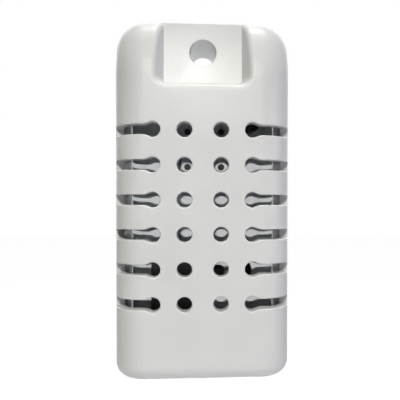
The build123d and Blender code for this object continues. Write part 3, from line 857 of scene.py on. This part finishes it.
def firedBlackGlaze(values):
    # Glassy black with a slight orange-peel ripple.
    material, tree = newMaterial("firedBlackGlaze")
    place = addNode(tree, "ShaderNodeTexCoord")
    cloud = addNode(tree, "ShaderNodeTexNoise", {"Scale": 1 / values["cloud"], "Detail": 2.0},
                    {"Vector": place.outputs["Object"]})
    screenMarks = addNode(tree, "ShaderNodeTexNoise", {"Scale": 1 / values["print"], "Detail": 0.0},
                          {"Vector": place.outputs["Object"]})
    edge = addNode(tree, "ShaderNodeBevel", {"samples": edgeSamples, "Radius": values["edge"]})
    bump = addNode(tree, "ShaderNodeBump", {"Strength": 1.0, "Distance": values["printHeight"]},
                   {"Height": screenMarks.outputs["Fac"], "Normal": edge.outputs["Normal"]})
    tint = addNode(tree, "ShaderNodeMixRGB",
                   {"Color1": linearColor(values["dark"]), "Color2": linearColor(values["light"])},
                   {"Fac": cloud.outputs["Fac"]})
    gloss = addNode(tree, "ShaderNodeMapRange",
                    {"From Min": noiseLow, "From Max": noiseHigh,
                     "To Min": values["smooth"], "To Max": values["rough"]},
                    {"Value": cloud.outputs["Fac"]})
    shader = addNode(tree, "ShaderNodeBsdfPrincipled", {"IOR": values["ior"]},
                     {"Base Color": tint.outputs["Color"], "Roughness": gloss.outputs["Result"],
                      "Normal": bump.outputs["Normal"]})
    addNode(tree, "ShaderNodeOutputMaterial", links={"Surface": shader.outputs[0]})
    return material


dress(firedBlackGlaze(resistors), "chip_resistors")


# Plugs in the pin seat: black nylon, moulded matt

seatPlugs = {
    "dark": "#0e0e0e",
    "light": "#181818",
    "smooth": 0.50,
    "rough": 0.65,
    "ior": 1.53,
    "cloud": 0.8 * mm,
    "grain": 0.20 * mm,
    "grainHeight": 0.003 * mm,
    "edge": 0.05 * mm,
}


def mouldedBlackNylon(values):
    # A deep black with almost no gloss.
    material, tree = newMaterial("mouldedBlackNylon")
    place = addNode(tree, "ShaderNodeTexCoord")
    cloud = addNode(tree, "ShaderNodeTexNoise", {"Scale": 1 / values["cloud"], "Detail": 2.0},
                    {"Vector": place.outputs["Object"]})
    grain = addNode(tree, "ShaderNodeTexNoise", {"Scale": 1 / values["grain"], "Detail": 2.0},
                    {"Vector": place.outputs["Object"]})
    edge = addNode(tree, "ShaderNodeBevel", {"samples": edgeSamples, "Radius": values["edge"]})
    bump = addNode(tree, "ShaderNodeBump", {"Strength": 1.0, "Distance": values["grainHeight"]},
                   {"Height": grain.outputs["Fac"], "Normal": edge.outputs["Normal"]})
    tint = addNode(tree, "ShaderNodeMixRGB",
                   {"Color1": linearColor(values["dark"]), "Color2": linearColor(values["light"])},
                   {"Fac": cloud.outputs["Fac"]})
    gloss = addNode(tree, "ShaderNodeMapRange",
                    {"From Min": noiseLow, "From Max": noiseHigh,
                     "To Min": values["smooth"], "To Max": values["rough"]},
                    {"Value": cloud.outputs["Fac"]})
    shader = addNode(tree, "ShaderNodeBsdfPrincipled", {"IOR": values["ior"]},
                     {"Base Color": tint.outputs["Color"], "Roughness": gloss.outputs["Result"],
                      "Normal": bump.outputs["Normal"]})
    addNode(tree, "ShaderNodeOutputMaterial", links={"Surface": shader.outputs[0]})
    return material


dress(mouldedBlackNylon(seatPlugs), "seat_plugs")


# Cable grommet: black nitrile rubber, compression moulded

cableGrommet = {
    "dark": "#18181a",
    "light": "#262628",
    "bloom": "#3a3a3c",       # grey bloom that settles on rubber
    "bloomShare": 0.35,
    "smooth": 0.50,
    "rough": 0.68,
    "ior": 1.52,
    "cloud": 1.4 * mm,
    "grain": 0.35 * mm,
    "grainHeight": 0.010 * mm,
    "edge": 0.10 * mm,
}


def mouldedNitrileRubber(values):
    # A soft black with a dusty grey bloom and hardly any highlight.
    material, tree = newMaterial("mouldedNitrileRubber")
    place = addNode(tree, "ShaderNodeTexCoord")
    cloud = addNode(tree, "ShaderNodeTexNoise", {"Scale": 1 / values["cloud"], "Detail": 3.0},
                    {"Vector": place.outputs["Object"]})
    grain = addNode(tree, "ShaderNodeTexNoise", {"Scale": 1 / values["grain"], "Detail": 2.0},
                    {"Vector": place.outputs["Object"]})
    edge = addNode(tree, "ShaderNodeBevel", {"samples": edgeSamples, "Radius": values["edge"]})
    bump = addNode(tree, "ShaderNodeBump", {"Strength": 1.0, "Distance": values["grainHeight"]},
                   {"Height": grain.outputs["Fac"], "Normal": edge.outputs["Normal"]})
    tint = addNode(tree, "ShaderNodeMixRGB",
                   {"Color1": linearColor(values["dark"]), "Color2": linearColor(values["light"])},
                   {"Fac": grain.outputs["Fac"]})
    bloomMask = addNode(tree, "ShaderNodeMapRange",
                        {"From Min": noiseLow, "From Max": noiseHigh,
                         "To Min": 0.0, "To Max": values["bloomShare"]},
                        {"Value": cloud.outputs["Fac"]})
    bloomed = addNode(tree, "ShaderNodeMixRGB", {"Color2": linearColor(values["bloom"])},
                      {"Fac": bloomMask.outputs["Result"], "Color1": tint.outputs["Color"]})
    gloss = addNode(tree, "ShaderNodeMapRange",
                    {"From Min": noiseLow, "From Max": noiseHigh,
                     "To Min": values["smooth"], "To Max": values["rough"]},
                    {"Value": cloud.outputs["Fac"]})
    shader = addNode(tree, "ShaderNodeBsdfPrincipled", {"IOR": values["ior"]},
                     {"Base Color": bloomed.outputs["Color"], "Roughness": gloss.outputs["Result"],
                      "Normal": bump.outputs["Normal"]})
    addNode(tree, "ShaderNodeOutputMaterial", links={"Surface": shader.outputs[0]})
    return material


dress(mouldedNitrileRubber(cableGrommet), "cable_grommet")


# Glue dab: clear hot-melt glue, set in a smooth blob

glueDab = {
    "tint": "#f4f3ee",
    "roughness": 0.06,
    "ior": 1.49,
    "clear": 0.9,
    "lump": 0.5 * mm,
    "lumpHeight": 0.03 * mm,
}


def clearHotMeltGlue(values):
    # Clear and wet-looking, so that it shows by its glints.
    material, tree = newMaterial("clearHotMeltGlue")
    place = addNode(tree, "ShaderNodeTexCoord")
    lumps = addNode(tree, "ShaderNodeTexNoise", {"Scale": 1 / values["lump"], "Detail": 2.0},
                    {"Vector": place.outputs["Object"]})
    bump = addNode(tree, "ShaderNodeBump", {"Strength": 1.0, "Distance": values["lumpHeight"]},
                   {"Height": lumps.outputs["Fac"]})
    shader = addNode(tree, "ShaderNodeBsdfPrincipled",
                     {"Base Color": linearColor(values["tint"]), "IOR": values["ior"],
                      "Roughness": values["roughness"], "Transmission Weight": values["clear"]},
                     {"Normal": bump.outputs["Normal"]})
    addNode(tree, "ShaderNodeOutputMaterial", links={"Surface": shader.outputs[0]})
    return material


dress(clearHotMeltGlue(glueDab), "glue_dab")


# Camera, at the photograph's place

cameraSetup = {
    "place": Vector((0.13, -89.8, -24.5)) * mm,
    "turn": -3.55,            # degrees about the vertical, towards +X
    "tilt": -1.01,            # degrees down
    "roll": 0.09,
    "lens": 42.6,
    "sensor": 36.0,
    "shift": (-0.0825, 0.0218),   # sets the part where it stands in the frame
    "clip": (1 * mm, 20000 * mm),
}


def addCamera(values):
    data = bpy.data.cameras.new("camera")
    data.lens = values["lens"]
    data.sensor_width = values["sensor"]
    data.shift_x, data.shift_y = values["shift"]
    data.clip_start, data.clip_end = values["clip"]
    camera = bpy.data.objects.new("camera", data)
    scene.collection.objects.link(camera)
    level = Matrix.Rotation(math.radians(90), 4, "X")  # a camera looks down until it is stood up
    turn = Matrix.Rotation(math.radians(values["turn"]), 4, "Z")
    tilt = Matrix.Rotation(math.radians(values["tilt"]), 4, "X")
    roll = Matrix.Rotation(math.radians(values["roll"]), 4, "Z")
    camera.matrix_world = Matrix.Translation(values["place"]) @ turn @ level @ tilt @ roll
    scene.camera = camera


addCamera(cameraSetup)
print("camera placed")


# Lamps, in millimetres and watts. The key lamp is small and near, so that sharp patches of its
# light fall through the vents. It looks down past the part, or its near top edge would be brightest.

lampSetup = {
    "keyLamp": {"place": (-2.6, -139, 47), "aim": (-2.6, -144, -53),
                "size": 2, "power": 0.33, "color": "#fffffa"},
    "skyPanel": {"place": (20, -45, 420), "aim": (0, -10, -10),
                 "size": 220, "power": 1.3, "color": "#fffdfb"},
    "rightPanel": {"place": (420, -260, 20), "aim": (0, 0, -25),
                   "size": 260, "power": 0.33, "color": "#d4d8ff"},
    "lowPanel": {"place": (0, -260, -220), "aim": (0, 0, -25),
                 "size": 200, "power": 0.1, "color": "#f4f6ff"},
    "rearPanel": {"place": (0, 330, 120), "aim": (0, 0, -25),
                  "size": 760, "power": 1.4, "color": "#f8faff"},
}


def addLamp(name, values):
    data = bpy.data.lights.new(name, "AREA")
    data.shape = "DISK"
    data.size = values["size"] * mm
    data.energy = values["power"]
    data.color = linearColor(values["color"])[:3]
    lamp = bpy.data.objects.new(name, data)
    scene.collection.objects.link(lamp)
    place = Vector(values["place"]) * mm
    lamp.location = place
    lamp.rotation_mode = "QUATERNION"
    lamp.rotation_quaternion = (Vector(values["aim"]) * mm - place).to_track_quat("-Z", "Y")


for lampName, lampValues in lampSetup.items():
    addLamp(lampName, lampValues)
print("lamps placed:", len(lampSetup))


# Surroundings: pure white where they are seen, mirrored or seen through clear plastic

def seenDirectly(tree):
    # 1 for a camera, glossy or transmitted ray, otherwise 0
    path = addNode(tree, "ShaderNodeLightPath")
    either = addNode(tree, "ShaderNodeMath", {"operation": "MAXIMUM"},
                     {0: path.outputs["Is Camera Ray"], 1: path.outputs["Is Transmission Ray"]})
    return addNode(tree, "ShaderNodeMath", {"operation": "MAXIMUM"},
                   {0: either.outputs[0], 1: path.outputs["Is Glossy Ray"]})


def addSurroundings():
    world = bpy.data.worlds.new("surroundings")
    scene.world = world
    world.use_nodes = True
    tree = world.node_tree
    tree.nodes.clear()
    dark = addNode(tree, "ShaderNodeBackground", {"Color": (0, 0, 0, 1), "Strength": 0.0})
    white = addNode(tree, "ShaderNodeBackground", {"Color": (1, 1, 1, 1), "Strength": 1.0})
    seen = seenDirectly(tree)
    mixed = addNode(tree, "ShaderNodeMixShader", {},
                    {"Fac": seen.outputs[0], 1: dark.outputs[0], 2: white.outputs[0]})
    addNode(tree, "ShaderNodeOutputWorld", links={"Surface": mixed.outputs[0]})


addSurroundings()
print("surroundings made")


# Floor: a plain white table top well below the part, which hangs on its wall screw

floorSetup = {
    "below": 250 * mm,
    "half": 3000 * mm,
    "color": "#f4f4f4",
    "glow": 0.985,            # seen white, while the shadow on it stays just visible
}


def addFloor(values):
    mesh = bpy.data.meshes.new("floor")
    half = values["half"]
    corners = ((-half, -half), (half, -half), (half, half), (-half, half))
    mesh.from_pydata([(x, y, -values["below"]) for x, y in corners], [], [(0, 1, 2, 3)])
    floor = bpy.data.objects.new("floor", mesh)
    scene.collection.objects.link(floor)
    material, tree = newMaterial("paintedTableTop")
    paint = addNode(tree, "ShaderNodeBsdfDiffuse", {"Color": linearColor(values["color"])})
    glow = addNode(tree, "ShaderNodeEmission", {"Color": (1, 1, 1, 1), "Strength": values["glow"]})
    both = addNode(tree, "ShaderNodeAddShader", {}, {0: paint.outputs[0], 1: glow.outputs[0]})
    seen = seenDirectly(tree)
    shader = addNode(tree, "ShaderNodeMixShader", {},
                     {"Fac": seen.outputs[0], 1: paint.outputs[0], 2: both.outputs[0]})
    addNode(tree, "ShaderNodeOutputMaterial", links={"Surface": shader.outputs[0]})
    mesh.materials.append(material)


addFloor(floorSetup)
print("floor laid")

scene.view_settings.view_transform = "Standard"
